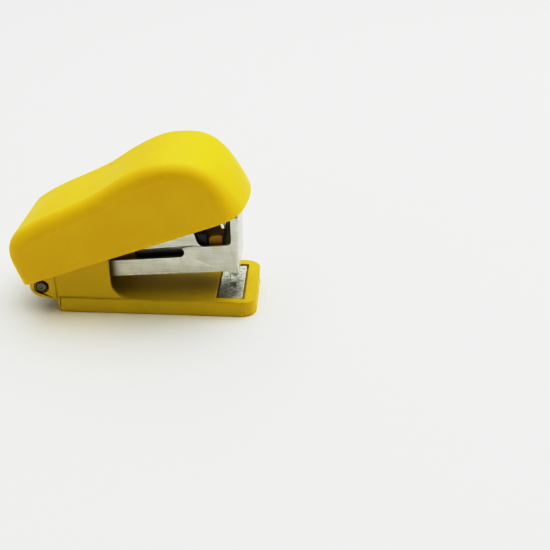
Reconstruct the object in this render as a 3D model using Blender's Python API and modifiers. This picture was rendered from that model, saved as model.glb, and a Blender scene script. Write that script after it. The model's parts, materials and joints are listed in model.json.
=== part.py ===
"""A compact stapler for No. 10 staples: base, magazine, follower, driver and press handle on one pin.

The front is +X, up is +Z, and the origin is on the floor under the middle of the stapler's outer box.
The magazine and the handle are drawn level, in axes (u, y, v) at the pivot pin, and their parent
empties tilt them to where the springs hold them at rest. Sizes are in metres, written as mm values.
"""

import math

import bmesh
import bpy
from mathutils import Matrix, Vector

mm = 0.001

# The staple, and the clearances that the rest is built on.
stapleWidth = 8.5 * mm
stapleLeg = 5.0 * mm
stapleWire = 0.5 * mm
gap = 0.3 * mm
slideGap = 0.4 * mm

# The pivot pin, the reach from it to the driver blade, and the two rest angles.
reach = 33.8 * mm
pivotHeight = 4.9 * mm
pinRadius = 0.8 * mm
pinHeadRadius = 1.0 * mm
pinHeadThickness = 0.3 * mm
magazineTilt = math.radians(5.3)
handleTilt = math.radians(20.5)

# Sheet and wall thicknesses.
magazineSheet = 0.6 * mm
frameSheet = 0.8 * mm
bladeSheet = 0.6 * mm
springSheet = 0.35 * mm
sliderSheet = 0.4 * mm
coverWall = 1.3 * mm
cheekWall = 0.8 * mm
ledgeWidth = 0.25 * mm
ribWall = 1.3 * mm

# The base.
deckHeight = 2.9 * mm
deckThickness = 1.3 * mm
baseRear = 2.2 * mm
baseNose = 4.1 * mm
baseCorner = 2.5 * mm
baseRearCorner = 1.5 * mm
edgeRound = 0.5 * mm
cheekRear = 1.4 * mm
cheekFront = 12.3 * mm
cheekRise = 7.7 * mm
cheekFillet = 3.0 * mm
earRadius = 2.1 * mm
earProud = 0.15 * mm
earRecess = 0.5 * mm
anvilLength = 4.4 * mm
anvilWidth = 12.2 * mm
anvilThickness = 0.7 * mm
anvilGroove = 0.45 * mm
anvilTab = 1.6 * mm
liftSpringWidth = 6.0 * mm

# The magazine, in its own axes.
channelDrop = 0.15 * mm
wallRise = 2.85 * mm
noseRise = 5.15 * mm
lipDrop = 0.95 * mm
notchRear = 5.9 * mm
slotRear = 9.0 * mm
slotFront = 8.1 * mm
slotHeight = 1.73 * mm
floorFront = 8.3 * mm
lugRadius = 2.1 * mm
coreRear = 6.0 * mm
coreFront = 16.6 * mm
coreWall = 1.0 * mm
webSlot = 0.9 * mm
guideRadius = 0.6 * mm
coilRadius = 1.2 * mm
coilWire = 0.2 * mm
coilTurns = 8
rivetRadius = 0.5 * mm
rivetHead = 0.95 * mm
rivetHeadHeight = 0.4 * mm

# The follower.
pushLength = 2.4 * mm
pushRise = 1.55 * mm
sliderLength = 2.9 * mm
sliderRise = 2.0 * mm

# The handle, in its own axes.
rimRise = 1.8 * mm
coverRear = 2.5 * mm
coverNose = 6.0 * mm
coverRearRise = 11.4 * mm
coverCrownRise = 14.8 * mm
shoulderRadius = 2.7 * mm
rearCornerShare = 0.5
noseTaper = 0.10
noseBulge = 1.6 * mm
noseTaperLength = 7.0 * mm
bladeLift = 7.6 * mm
plateClearance = 0.9 * mm
returnSpringWidth = 6.0 * mm
driverRivetSpread = 2.4 * mm

# Sizes that follow: half widths from the staple outwards, then heights in the magazine's axes.
railHalf = stapleWidth / 2 - stapleWire - 0.15 * mm
channelInner = stapleWidth / 2 + 0.5 * mm
channelOuter = channelInner + magazineSheet
frameInner = channelOuter + slideGap
frameOuter = frameInner + frameSheet
cheekInner = frameOuter + slideGap
cheekOuter = cheekInner + cheekWall
earOuter = cheekOuter + earProud
baseHalf = cheekOuter + ledgeWidth
coverInner = baseHalf + slideGap
coverOuter = coverInner + coverWall
floorTop = magazineSheet - channelDrop
railFoot = floorTop + gap
railTop = floorTop + stapleLeg - stapleWire
wallTop = railTop + wallRise
noseTop = railTop + noseRise
railRivetTop = railFoot + 0.7 * mm
guideHeight = (railFoot + railTop - magazineSheet) / 2
bladeInner = reach - bladeSheet / 2
bladeOuter = reach + bladeSheet / 2
pushFront = math.sqrt(bladeInner**2 - (railTop + pushRise) ** 2) - gap
pushRear = pushFront - pushLength
sliderRear = pushRear - gap - sliderLength
plateUnder = wallTop + plateClearance
plateTop = plateUnder + frameSheet
holeRadius = pinRadius + gap
coverFront = reach + coverNose


def material(name, colour, roughness, metallic=0.0):
    made = bpy.data.materials.new(name)
    made.use_nodes = True
    shader = made.node_tree.nodes["Principled BSDF"]
    shader.inputs["Base Color"].default_value = (*colour, 1.0)
    shader.inputs["Roughness"].default_value = roughness
    shader.inputs["Metallic"].default_value = metallic
    made.diffuse_color = (*colour, 1.0)
    return made


def collection(name):
    made = bpy.data.collections.new(name)
    bpy.context.scene.collection.children.link(made)
    return made


def axisEmpty(name, tilt):
    """An empty on the pivot pin's axis, turned so that its own X runs up towards the front by tilt."""
    empty = bpy.data.objects.new(name, None)
    empty.location = (pivotX, 0.0, pivotHeight)
    empty.rotation_euler = (0.0, -tilt, 0.0)
    empty.empty_display_size = 0.005
    parts.objects.link(empty)
    return empty


def place(name, mesh, finish, owner):
    """A finished object. With no finish it is a cutter or a shape to be joined, kept out of renders."""
    made = bpy.data.objects.new(name, mesh)
    made.parent = owner
    (parts if finish else cutters).objects.link(made)
    if finish:
        mesh.materials.append(finish)
    else:
        made.hide_render = True
        made.display_type = "WIRE"
    return made


def fillet(corners, steps=5):
    """The outline of (u, v, radius) corners, each rounded by its radius."""
    outline = []
    for index, (u, v, radius) in enumerate(corners):
        here = Vector((u, v))
        before = Vector(corners[index - 1][:2]) - here
        after = Vector(corners[(index + 1) % len(corners)][:2]) - here
        if not radius:
            outline.append(here)
            continue
        half = before.angle(after) / 2
        reachBack = min(radius / math.tan(half), 0.49 * before.length, 0.49 * after.length)
        size = reachBack * math.tan(half)
        middle = here + (before.normalized() + after.normalized()).normalized() * size / math.sin(half)
        start = here + before.normalized() * reachBack - middle
        end = here + after.normalized() * reachBack - middle
        sweep = math.atan2(start.x * end.y - start.y * end.x, start.dot(end))
        for step in range(steps + 1):
            outline.append(middle + Matrix.Rotation(sweep * step / steps, 2) @ start)
    return outline


def prism(name, outline, low, high, finish=None, owner=None, up=False):
    """An outline in (u, v) carried across from y = low to high, or with up, (x, y) from z = low to high."""
    curve = bpy.data.curves.new(name, "CURVE")
    curve.dimensions = "2D"
    curve.fill_mode = "BOTH"
    curve.extrude = (high - low) / 2
    spline = curve.splines.new("POLY")
    spline.points.add(len(outline) - 1)
    for point, place2d in zip(spline.points, outline):
        point.co = (place2d[0], place2d[1], 0.0, 1.0)
    spline.use_cyclic_u = True
    drawn = bpy.data.objects.new(name + "_outline", curve)
    bpy.context.scene.collection.objects.link(drawn)
    graph = bpy.context.evaluated_depsgraph_get()
    mesh = bpy.data.meshes.new_from_object(drawn.evaluated_get(graph))
    bpy.data.objects.remove(drawn)
    turn = Matrix.Translation((0, 0, (low + high) / 2))
    if not up:
        turn = Matrix.Translation((0, (low + high) / 2, 0)) @ Matrix.Rotation(math.pi / 2, 4, "X")
    mesh.transform(turn)
    shape = bmesh.new()
    shape.from_mesh(mesh)
    bmesh.ops.remove_doubles(shape, verts=shape.verts, dist=1e-6)
    bmesh.ops.recalc_face_normals(shape, faces=shape.faces)
    shape.to_mesh(mesh)
    shape.free()
    return place(name, mesh, finish, owner)


def box(name, low, high, finish=None, owner=None, roundBy=0.0):
    shape = bmesh.new()
    bmesh.ops.create_cube(shape, size=1.0)
    size = Vector(high) - Vector(low)
    bmesh.ops.scale(shape, vec=size, verts=shape.verts)
    bmesh.ops.translate(shape, vec=Vector(low) + size / 2, verts=shape.verts)
    mesh = bpy.data.meshes.new(name)
    shape.to_mesh(mesh)
    shape.free()
    made = place(name, mesh, finish, owner)
    if roundBy:
        bevel(made, roundBy)
    return made


def bar(name, radius, start, end, finish=None, owner=None, sides=24):
    """A round bar from the point start to the point end."""
    start, end = Vector(start), Vector(end)
    shape = bmesh.new()
    bmesh.ops.create_cone(shape, cap_ends=True, segments=sides, radius1=radius, radius2=radius,
                          depth=(end - start).length)
    turn = (end - start).to_track_quat("Z", "Y").to_matrix().to_4x4()
    bmesh.ops.transform(shape, matrix=Matrix.Translation((start + end) / 2) @ turn, verts=shape.verts)
    mesh = bpy.data.meshes.new(name)
    shape.to_mesh(mesh)
    shape.free()
    return place(name, mesh, finish, owner)


def turned(name, profile, at, along, finish, owner=None, sides=24):
    """A turned piece: (radius, height) points down its outer side, about a line through at, along along."""
    mesh = bpy.data.meshes.new(name)
    turn = Matrix.Translation(at) @ Vector(along).to_track_quat("Z", "Y").to_matrix().to_4x4()
    mesh.from_pydata([(radius, 0.0, height) for radius, height in profile],
                     [(step, step + 1) for step in range(len(profile) - 1)], [])
    made = place(name, mesh, finish, owner)
    made.matrix_local = turn
    screw = made.modifiers.new("turn", "SCREW")
    screw.steps = screw.render_steps = sides
    screw.use_merge_vertices = True
    screw.merge_threshold = 1e-6
    return made


def rivet(name, shank, head, headHeight, low, high, at, along, finish, owner=None):
    """A rivet whose two domed heads sit outside low and high, the heights of the sheets that it joins."""
    def dome(sign, level):
        return [(head * math.cos(angle), level + sign * headHeight * math.sin(angle))
                for angle in (0.0, math.radians(40), math.radians(70))]
    upper = [(0.0, high + headHeight)] + dome(1, high)[::-1] + [(shank, high)]
    lower = [(shank, low)] + dome(-1, low) + [(0.0, low - headHeight)]
    return turned(name, upper + lower, at, along, finish, owner)


def bevel(made, width, segments=2, degrees=40):
    edge = made.modifiers.new("edge", "BEVEL")
    edge.width = width
    edge.segments = segments
    edge.limit_method = "ANGLE"
    edge.angle_limit = math.radians(degrees)
    return edge


def boolean(made, other, operation):
    step = made.modifiers.new(operation.lower() + "_" + other.name, "BOOLEAN")
    step.operation = operation
    step.object = other
    step.solver = "EXACT"


def cut(made, *others):
    for other in others:
        boolean(made, other, "DIFFERENCE")


def fuse(made, *others):
    for other in others:
        boolean(made, other, "UNION")


def arc(radius, first, last, steps):
    """Points on a circle about the pivot, from the angle first to the angle last."""
    return [Vector((radius * math.cos(first + (last - first) * step / steps),
                    radius * math.sin(first + (last - first) * step / steps))) for step in range(steps + 1)]


def ribbon(path, thickness):
    """The outline of a strip of sheet whose middle follows path."""
    left, right = [], []
    for index, point in enumerate(path):
        before = path[max(index - 1, 0)]
        after = path[min(index + 1, len(path) - 1)]
        across = (after - before).normalized().orthogonal() * thickness / 2
        left.append(point + across)
        right.append(point - across)
    return left + right[::-1]


def smoothPath(knots, steps=6):
    """A smooth curve through the knots, with steps points from each to the next."""
    path = []
    for index in range(len(knots) - 1):
        p0 = knots[max(index - 1, 0)]
        p1, p2 = knots[index], knots[index + 1]
        p3 = knots[min(index + 2, len(knots) - 1)]
        for step in range(steps):
            t = step / steps
            path.append(0.5 * (2 * p1 + (p2 - p0) * t + (2 * p0 - 5 * p1 + 4 * p2 - p3) * t * t
                               + (3 * p1 - p0 - 3 * p2 + p3) * t ** 3))
    return path + [knots[-1]]


def coverOutline(inset):
    """The cover's side outline in the handle's axes, moved in by inset and carried on below the rim."""
    rise = coverCrownRise - coverRearRise
    foot = rimRise - 4.0 * mm
    front = coverFront
    knots = [Vector(point) for point in (
        (-coverRear, foot),
        (-coverRear, foot + 4.0 * mm),
        (-coverRear + 0.1 * mm, coverRearRise - 5.0 * mm),
        (-coverRear + 0.7 * mm, coverRearRise - 2.6 * mm),
        (-coverRear + 2.1 * mm, coverRearRise - 1.0 * mm),
        (-coverRear + 4.3 * mm, coverRearRise - 0.15 * mm),
        (-coverRear + 9.0 * mm, coverRearRise + 0.18 * rise),
        (front - 24.4 * mm, coverRearRise + 0.42 * rise),
        (front - 17.9 * mm, coverCrownRise - 0.55 * mm),
        (front - 12.5 * mm, coverCrownRise),
        (front - 8.4 * mm, coverCrownRise - 0.8 * mm),
        (front - 5.1 * mm, coverCrownRise - 2.4 * mm),
        (front - 2.6 * mm, coverCrownRise - 5.0 * mm),
        (front - 1.0 * mm, coverCrownRise - 8.5 * mm),
        (front, foot + 4.0 * mm),
        (front, foot),
    )]
    path = smoothPath(knots, 4)
    if not inset:
        return path
    moved = []
    for index, point in enumerate(path):
        along = path[min(index + 1, len(path) - 1)] - path[max(index - 1, 0)]
        moved.append(point + Vector((along.y, -along.x)).normalized() * inset)
    return moved


def pillow(name, inset, half, radius, steps, finish=None, owner=None):
    """The cover's form, moved in by inset: its outline carried across, drawn in at both sides by radius.

    Its rear corners are tighter than its shoulders. It narrows towards the nose, whose front is bowed.
    """
    angles = [math.pi / 2 * step / steps for step in range(steps + 1)]
    layers = [(radius * (1 - math.cos(angle)) - half, radius * (1 - math.sin(angle))) for angle in angles]
    layers += [(-y, drawnIn) for y, drawnIn in reversed(layers)]
    shape = bmesh.new()
    before = None
    for index, (y, drawnIn) in enumerate(layers):
        ring = []
        for point in coverOutline(inset + drawnIn):
            rearness = min(max((3.0 * mm - point.x) / (5.0 * mm), 0.0), 1.0)
            ring.append(shape.verts.new((point.x - drawnIn * (1 - rearCornerShare) * rearness, y, point.y)))
        edges = [shape.edges.new((ring[step - 1], ring[step])) for step in range(len(ring))]
        if index in (0, len(layers) - 1):
            bmesh.ops.contextual_create(shape, geom=edges)
        if before:
            bmesh.ops.bridge_loops(shape, edges=before + edges)
        before = edges
    bands = 6
    taperStart = coverFront - noseTaperLength
    planes = [((1, 0, 0), (taperStart + noseTaperLength * band / bands, 0, 0)) for band in range(bands)]
    planes += [((0, 1, 0), (0, coverOuter * share, 0)) for share in (-0.5, -0.25, 0, 0.25, 0.5)]
    for normal, point in planes:
        everything = list(shape.verts) + list(shape.edges) + list(shape.faces)
        bmesh.ops.bisect_plane(shape, geom=everything, dist=1e-7, plane_no=normal, plane_co=point)
    for vert in shape.verts:
        nearNose = max((vert.co.x - taperStart) / noseTaperLength, 0.0)
        vert.co.x -= noseBulge * (vert.co.y / coverOuter * nearNose) ** 2
        vert.co.y *= 1 - noseTaper * nearNose ** 2
    bmesh.ops.triangulate(shape, faces=shape.faces)
    bmesh.ops.recalc_face_normals(shape, faces=shape.faces)
    mesh = bpy.data.meshes.new(name)
    shape.to_mesh(mesh)
    shape.free()
    return place(name, mesh, finish, owner)


outlineReach = [point.x * math.cos(handleTilt) - point.y * math.sin(handleTilt)
                for point in coverOutline(0.0) if point.y >= rimRise]
pivotX = -(min(outlineReach) + reach + baseNose) / 2
baseBack = pivotX + baseRear
baseFront = pivotX + reach + baseNose
anvilX = pivotX + reach * math.cos(magazineTilt) - 0.4 * mm


def makeBase():
    """The moulded base: a deck on a ribbed underside, two cheeks, and two ears that hold the pivot pin."""
    corners = [(baseBack, -baseHalf, baseRearCorner), (baseFront, -baseHalf, baseCorner),
               (baseFront, baseHalf, baseCorner), (baseBack, baseHalf, baseRearCorner)]
    base = prism("base_body", fillet(corners, 6), 0.0, deckHeight, yellowPlastic, up=True)
    bevel(base, edgeRound, 2, 50)

    front, rear = pivotX + cheekFront, pivotX + cheekRear
    cheekTop = pivotHeight + cheekRise
    root = deckHeight - deckThickness / 2
    foot = front + cheekFillet * 2.1
    cheek = fillet([(rear + 0.3 * mm, root, 0), (rear - 0.1 * mm, cheekTop - 2.2 * mm, 2.0 * mm),
                    (front - 2.0 * mm, cheekTop, 1.0 * mm), (front, cheekTop - 0.4 * mm, 0.5 * mm),
                    (front, deckHeight, cheekFillet), (foot, deckHeight, 0), (foot, root, 0)])
    ear = [point + Vector((pivotX, pivotHeight))
           for point in arc(earRadius, math.radians(85), math.radians(275), 12)]
    ear += [Vector((rear + 1.1 * mm, root + 0.2 * mm)), Vector((rear + 1.1 * mm, pivotHeight + earRadius))]
    for name, side in (("left", 1), ("right", -1)):
        cheekSpan = sorted((side * cheekInner, side * cheekOuter))
        earSpan = sorted((side * (cheekInner + 0.06 * mm), side * earOuter))
        fuse(base, prism("cheek_" + name, cheek, *cheekSpan), prism("ear_" + name, ear, *earSpan))

    ceiling = deckHeight - deckThickness
    pocketRear, pocketFront = baseBack + ribWall, baseFront - ribWall
    count = 4
    pitch = (pocketFront - pocketRear + ribWall) / count
    for column in range(count):
        low = pocketRear + column * pitch
        for side in (1, -1):
            ends = sorted((side * ribWall / 2, side * (baseHalf - ribWall)))
            cut(base, box("pocket_%d_%s" % (column + 1, "left" if side > 0 else "right"),
                          (low, ends[0], -1.0 * mm), (low + pitch - ribWall, ends[1], ceiling)))

    recess = (anvilLength / 2 + gap, anvilWidth / 2 + gap, deckHeight - anvilThickness - gap / 2)
    cut(base, box("anvil_recess", (anvilX - recess[0], -recess[1], recess[2]),
                  (anvilX + recess[0], recess[1], deckHeight + 1.0 * mm)))
    for side in (1, -1):
        tab = side * anvilWidth / 4
        cut(base, box("anvil_tab_slot_" + ("left" if side > 0 else "right"),
                      (anvilX - anvilTab / 2 - gap, tab - anvilTab - gap, -1.0 * mm),
                      (anvilX + anvilTab / 2 + gap, tab + anvilTab + gap, deckHeight)))
    axle = (pivotX, 0.0, pivotHeight)
    beyond = Vector((0, baseHalf + 1 * mm, 0))
    cut(base, bar("ear_bore", holeRadius, Vector(axle) - beyond, Vector(axle) + beyond))
    for name, side in (("left", 1), ("right", -1)):
        cut(base, bar("ear_recess_" + name, pinHeadRadius + gap,
                      (pivotX, side * (earOuter - earRecess), pivotHeight), Vector(axle) + beyond * side))
    cut(base, bar("lift_spring_hole", rivetRadius + gap, (liftRivetX, 0, -1 * mm), (liftRivetX, 0, 5 * mm)),
        bar("lift_rivet_recess", rivetHead + gap, (liftRivetX, 0, -1 * mm), (liftRivetX, 0, ceiling)))
    return base


def makeAnvil():
    """The clinching plate: two shallow grooves that curl the legs, and two tabs pressed through the base."""
    top = deckHeight - gap / 2
    low = top - anvilThickness
    outline = fillet([(anvilX - anvilLength / 2, -anvilWidth / 2, 0.5 * mm),
                      (anvilX + anvilLength / 2, -anvilWidth / 2, 0.5 * mm),
                      (anvilX + anvilLength / 2, anvilWidth / 2, 0.5 * mm),
                      (anvilX - anvilLength / 2, anvilWidth / 2, 0.5 * mm)], 3)
    anvil = prism("anvil_plate", outline, low + gap / 2, top, brightSteel, up=True)
    for side in (1, -1):
        name = "left" if side > 0 else "right"
        tab = side * anvilWidth / 4
        tabFoot = deckHeight - deckThickness
        fuse(anvil, box("anvil_tab_" + name, (anvilX - anvilTab / 2, tab - anvilTab, tabFoot),
                        (anvilX + anvilTab / 2, tab + anvilTab, low + 0.4 * mm)))
        span = sorted((side * 0.5 * mm, side * (stapleWidth / 2 + 0.4 * mm)))
        groove = fillet([(span[0], top + 0.5 * mm, 0), (span[0], top - anvilGroove, 1.2 * mm),
                         (span[1], top - anvilGroove, 1.2 * mm), (span[1], top + 0.5 * mm, 0)], 4)
        pocket = prism("anvil_groove_" + name, groove, -0.65 * mm, 0.65 * mm)
        pocket.matrix_local = Matrix.Translation((anvilX, 0, 0)) @ Matrix.Rotation(math.pi / 2, 4, "Z")
        cut(anvil, pocket)
    return anvil


def makeLiftSpring():
    """A bent leaf between the deck and the magazine's floor: it lifts the magazine off the paper."""
    deck = deckHeight + gap + springSheet / 2
    bend = pivotX + 4.2 * mm
    tip = pivotX + cheekFront - 1.3 * mm
    tipHeight = (pivotHeight + (tip - pivotX) * math.sin(magazineTilt)
                 - channelDrop - gap - springSheet)
    path = smoothPath([Vector((tip - 0.5 * mm, deck)), Vector((bend + 0.9 * mm, deck)),
                       Vector((bend, deck + 0.75 * mm)),
                       Vector((bend + 0.9 * mm, deck + 1.5 * mm)), Vector((tip - 0.8 * mm, tipHeight)),
                       Vector((tip + 0.3 * mm, tipHeight - 0.25 * mm))], 3)
    half = liftSpringWidth / 2
    spring = prism("magazine_lift_spring", ribbon(path, springSheet), -half, half, springSteel)
    cut(spring, bar("lift_spring_bore", rivetRadius + gap, (liftRivetX, 0, 0),
                    (liftRivetX, 0, deck + 0.4 * mm)))
    high = deck + springSheet / 2 + gap
    rivet("lift_spring_rivet", rivetRadius, rivetHead, 0.3 * mm, deckHeight - deckThickness - gap,
          high, (liftRivetX, 0, 0), (0, 0, 1), brightSteel)


def makePin():
    """The pivot pin: its head at one side and its riveted end at the other lie in recesses in the ears."""
    foot = earOuter - earRecess + gap
    top = foot + pinHeadThickness
    profile = [(0.0, top), (pinHeadRadius - 0.15 * mm, top), (pinHeadRadius, top - 0.1 * mm),
               (pinHeadRadius, foot), (pinRadius, foot), (pinRadius, -foot),
               (pinHeadRadius - 0.1 * mm, -foot), (pinHeadRadius - 0.2 * mm, -top + 0.1 * mm), (0.0, -top)]
    turned("pivot_pin", profile, (pivotX, 0, pivotHeight), (0, 1, 0), brightSteel)


def noseLine(v):
    """How far forward the inside of the magazine's front wall is at height v: it stands upright at rest."""
    return bladeOuter + 0.2 * mm + v * math.tan(magazineTilt)


def makeChannel(owner):
    """The magazine channel, folded from one sheet: floor, two slotted and notched walls, and the nose."""
    low = -channelDrop
    outerNose = [noseLine(v) + magazineSheet for v in (low - lipDrop, noseTop)]
    notchEnd = noseLine(railTop) - 0.7 * mm
    notchStart = reach - notchRear
    side = arc(lugRadius, math.radians(115), math.radians(270 + 15), 12)
    side += fillet([(2.6 * mm, low, 0), (noseLine(0) - 1.3 * mm, low, 0.5 * mm),
                    (noseLine(0) - 0.3 * mm, low - lipDrop, 0.3 * mm),
                    (outerNose[0], low - lipDrop, 0.2 * mm),
                    (outerNose[1], noseTop, 0.4 * mm), (notchEnd + 0.35 * mm, noseTop, 0.3 * mm),
                    (notchEnd, railTop, 0.7 * mm), (notchStart + 0.5 * mm, railTop, 1.4 * mm),
                    (notchStart, wallTop, 0.6 * mm), (6.5 * mm, wallTop, 2.5 * mm)], 4)
    channel = prism("magazine_channel", side, -channelOuter, channelOuter, magazineSteel, owner)
    back, exitStart, below, above = 3.4 * mm, reach - floorFront, -5 * mm, 20 * mm
    inside = [(-5 * mm, below), (back, below), (back, floorTop), (exitStart, floorTop), (exitStart, below),
              (noseLine(below), below), (noseLine(above), above), (-5 * mm, above)]
    slotTop = railTop - 0.06 * mm
    slotEnds = (slotRear, reach - slotFront)
    slot = fillet([(slotEnds[0], slotTop - slotHeight, slotHeight / 2.05),
                   (slotEnds[1], slotTop - slotHeight, slotHeight / 2.05),
                   (slotEnds[1], slotTop, slotHeight / 2.05), (slotEnds[0], slotTop, slotHeight / 2.05)], 4)
    across = channelOuter + 1 * mm
    cut(channel,
        prism("channel_inside", inside, -channelInner, channelInner, owner=owner),
        prism("side_slots", slot, -across, across, owner=owner),
        bar("channel_bore", holeRadius, (0, -across, 0), (0, across, 0), owner=owner),
        bar("core_rivet_hole", rivetRadius + gap, (coreRivetU, -across, coreRivetV),
            (coreRivetU, across, coreRivetV), owner=owner, sides=16))
    for side in (1, -1):
        at = (railRivetU, side * railRivetY)
        cut(channel, bar("floor_hole_%s" % ("left" if side > 0 else "right"), rivetRadius + gap,
                         (*at, -2 * mm), (*at, 1 * mm), owner=owner, sides=16))
    return channel


def makeRail(owner):
    """The staple rail: an upturned channel that the staples straddle, slotted for the follower's web."""
    rear = coreFront + gap
    front = pushFront + 0.3 * mm
    rail = box("staple_rail", (rear, -railHalf, railFoot), (front, railHalf, railTop), magazineSteel, owner)
    inner = railHalf - magazineSheet
    cut(rail,
        box("rail_inside", (rear - 1 * mm, -inner, railFoot - 1 * mm),
            (front - magazineSheet, inner, railTop - magazineSheet), owner=owner),
        box("rail_web_slot", (rear - 1 * mm, -webSlot, railTop - 1 * mm),
            (front - magazineSheet - 0.4 * mm, webSlot, railTop + 1 * mm), owner=owner),
        bar("rail_guide_hole", guideRadius + gap, (front - 2 * mm, 0, guideHeight),
            (front + 2 * mm, 0, guideHeight), owner=owner))
    for side in (1, -1):
        name = "left" if side > 0 else "right"
        ends = sorted((side * (inner + 0.2 * mm), side * (railRivetY - 0.75 * mm)))
        fuse(rail, box("rail_foot_" + name, (railRivetU - 1.6 * mm, ends[0], railFoot),
                       (railRivetU + 1.6 * mm, ends[1], railFoot + 0.4 * mm), owner=owner))
    for side in (1, -1):
        name = "left" if side > 0 else "right"
        at = (railRivetU, side * railRivetY)
        cut(rail, bar("rail_foot_hole_" + name, rivetRadius + 0.15 * mm, (*at, 0), (*at, 1.3 * mm),
                      owner=owner, sides=16))
        rivet("rail_rivet_" + name, rivetRadius - 0.1 * mm, rivetRadius + 0.2 * mm, 0.2 * mm,
              -channelDrop - 0.1 * mm, railRivetTop - 0.2 * mm, (*at, 0), (0, 0, 1), brightSteel, owner)
    return rail


def makeCore(owner):
    """The moulded rear core: it carries on the rail's section, and holds the guide rod and the spring."""
    core = box("rail_core", (coreRear, -railHalf, railFoot), (coreFront, railHalf, railTop),
               yellowPlastic, owner)
    inner = railHalf - coreWall
    spring = coreRear + 3.4 * mm
    cut(core,
        box("core_inside", (spring, -inner, railFoot - 1 * mm),
            (coreFront + 1 * mm, inner, railTop - coreWall), owner=owner),
        box("core_web_slot", (spring, -webSlot, railTop - 2 * mm),
            (coreFront + 1 * mm, webSlot, railTop + 1 * mm), owner=owner),
        bar("core_guide_hole", guideRadius + gap, (coreRear + 1.6 * mm, 0, guideHeight),
            (spring + 1 * mm, 0, guideHeight), owner=owner),
        bar("core_rivet_bore", rivetRadius + 0.2 * mm, (coreRivetU, -railHalf - mm, coreRivetV),
            (coreRivetU, railHalf + mm, coreRivetV), owner=owner, sides=16))
    rivet("core_rivet", rivetRadius, rivetHead, 0.15 * mm, -channelOuter - 0.1 * mm, channelOuter + 0.1 * mm,
          (coreRivetU, 0, coreRivetV), (0, 1, 0), brightSteel, owner)
    bar("guide_rod", guideRadius, (coreRear + 1.9 * mm, 0, guideHeight),
        (pushFront + 0.2 * mm, 0, guideHeight), brightSteel, owner, sides=16)


def makeSpring(owner):
    """The coil spring round the guide rod, between the core and the follower."""
    start = coreRear + 3.4 * mm + gap + coilWire
    end = followerCoreRear - gap - coilWire
    steps = 8 * coilTurns
    curve = bpy.data.curves.new("follower_spring", "CURVE")
    curve.dimensions = "3D"
    curve.bevel_depth = coilWire
    curve.bevel_resolution = 1
    curve.use_fill_caps = True
    spline = curve.splines.new("POLY")
    spline.points.add(steps)
    for step, point in enumerate(spline.points):
        angle = 2 * math.pi * step / 8
        point.co = (start + (end - start) * step / steps, coilRadius * math.cos(angle),
                    guideHeight + coilRadius * math.sin(angle), 1.0)
    made = bpy.data.objects.new("follower_spring", curve)
    made.parent = owner
    curve.materials.append(springSteel)
    parts.objects.link(made)


def makeFollower(owner):
    """The follower: a moulded saddle that pushes the staples, and behind it a folded steel slider."""
    legOuter = channelInner - slideGap
    legInner = railHalf + 0.25 * mm
    foot = railFoot + 0.2 * mm
    bridge = railTop + gap
    top = railTop + pushRise
    outline = fillet([(pushRear, foot, 0.2 * mm), (pushFront, foot, 0.2 * mm), (pushFront, top, 0.3 * mm),
                      (pushRear, top, 0.9 * mm)], 4)
    follower = prism("follower", outline, -legOuter, legOuter, yellowPlastic, owner)
    earHalf = legOuter - 1.0 * mm
    low, high = pushRear - 1 * mm, pushFront + 1 * mm
    saddle = box("follower_saddle", (low, -legInner, foot - 1 * mm), (high, legInner, bridge), owner=owner)
    cut(follower, saddle,
        box("follower_dip", (low, -earHalf, bridge + 0.5 * mm), (high, earHalf, top + 1 * mm), owner=owner))
    web = webSlot - gap
    coreHalf = railHalf - coreWall - gap
    coreTop = railTop - coreWall - gap
    rear = followerCoreRear
    fuse(follower,
         box("follower_web", (rear, -web, coreTop - 0.3 * mm),
             (pushFront - 1.0 * mm, web, bridge + 0.3 * mm), owner=owner),
         box("follower_core", (rear, -coreHalf, railRivetTop + gap),
             (pushFront - 1.0 * mm, coreHalf, coreTop), owner=owner),
         box("follower_spigot", (rear, -legInner + 0.6 * mm, bridge),
             (pushRear + 0.5 * mm, legInner - 0.6 * mm, bridge + 0.5 * mm), owner=owner))
    cut(follower, bar("follower_bore", guideRadius + gap, (rear - mm, 0, guideHeight),
                      (pushFront + mm, 0, guideHeight), owner=owner, sides=16))

    sliderTop = railTop + sliderRise
    shell = fillet([(sliderRear, foot, 0.2 * mm), (sliderRear + sliderLength, foot, 0.2 * mm),
                    (sliderRear + sliderLength, sliderTop, 0.4 * mm), (sliderRear, sliderTop, 0.8 * mm)], 4)
    slider = prism("follower_slider", shell, -legOuter, legOuter, darkSteel, owner)
    sliderInner = legOuter - sliderSheet
    cut(slider, box("slider_inside", (sliderRear - mm, -sliderInner, foot - mm),
                    (sliderRear + sliderLength + mm, sliderInner, sliderTop - sliderSheet), owner=owner))


def makeSleeve(owner):
    """The spacer sleeve that keeps the magazine's two lugs apart on the pin."""
    end = channelInner - gap
    ring = [(holeRadius, end), (holeRadius + 0.5 * mm, end), (holeRadius + 0.5 * mm, -end),
            (holeRadius, -end), (holeRadius, end)]
    turned("pivot_sleeve", ring, (0, 0, 0), (0, 1, 0), brightSteel, owner)


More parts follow.
